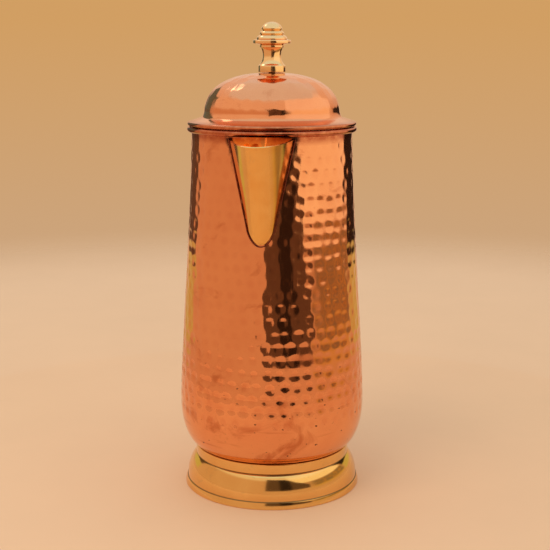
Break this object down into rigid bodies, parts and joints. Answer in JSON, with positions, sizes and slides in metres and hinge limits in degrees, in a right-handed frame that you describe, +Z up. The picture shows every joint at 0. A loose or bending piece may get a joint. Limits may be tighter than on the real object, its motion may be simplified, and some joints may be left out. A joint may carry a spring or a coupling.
{
  "type": "copper water jug",
  "caption": "Hammered copper water jug with a brass beak spout, brass foot, riveted ear handle and a lift-off domed lid with a turned knob.",
  "frame": {"origin": "middle of the bounding box's footprint, on the plane that the foot stands on; the jug's turning axis is at x 0, y -0.0126", "axes": "+Z up, spout towards -Y, handle towards +Y"},
  "size_m": [0.1144, 0.1772, 0.2856],
  "materials": {
    "hammered_copper": "hammered and polished copper",
    "plain_copper": "plain satin copper",
    "polished_brass": "polished",
    "cast_brass": "cast and polished",
    "braze": "dull reddish braze",
    "solder": "dull tin solder",
    "iron_wire": "drawn wire",
    "plated_steel": "plated"
  },
  "bodies": {
    "jug": {"body_wall": "hammered_copper", "rim_wire": "iron_wire", "bottom_plate": "plain_copper", "foot_ring": "polished_brass", "foot_solder": "solder", "spout": "polished_brass", "spout_braze": "braze", "handle": "cast_brass", "rivet_upper_top": "cast_brass", "rivet_upper_low": "cast_brass", "rivet_lower_top": "cast_brass", "rivet_lower_low": "cast_brass", "washer_upper_top": "plain_copper", "washer_upper_low": "plain_copper", "washer_lower_top": "plain_copper", "washer_lower_low": "plain_copper"},
    "lid": {"lid_dome": "hammered_copper", "lid_sleeve": "plain_copper", "knob": "polished_brass", "knob_washer": "plated_steel", "knob_screw": "plated_steel"}
  },
  "joints": [
    {"name": "lid_lift", "type": "slide", "parent": "jug", "child": "lid", "axis": [0, 0, 1], "range_m": [0, 0.08]}
  ]
}
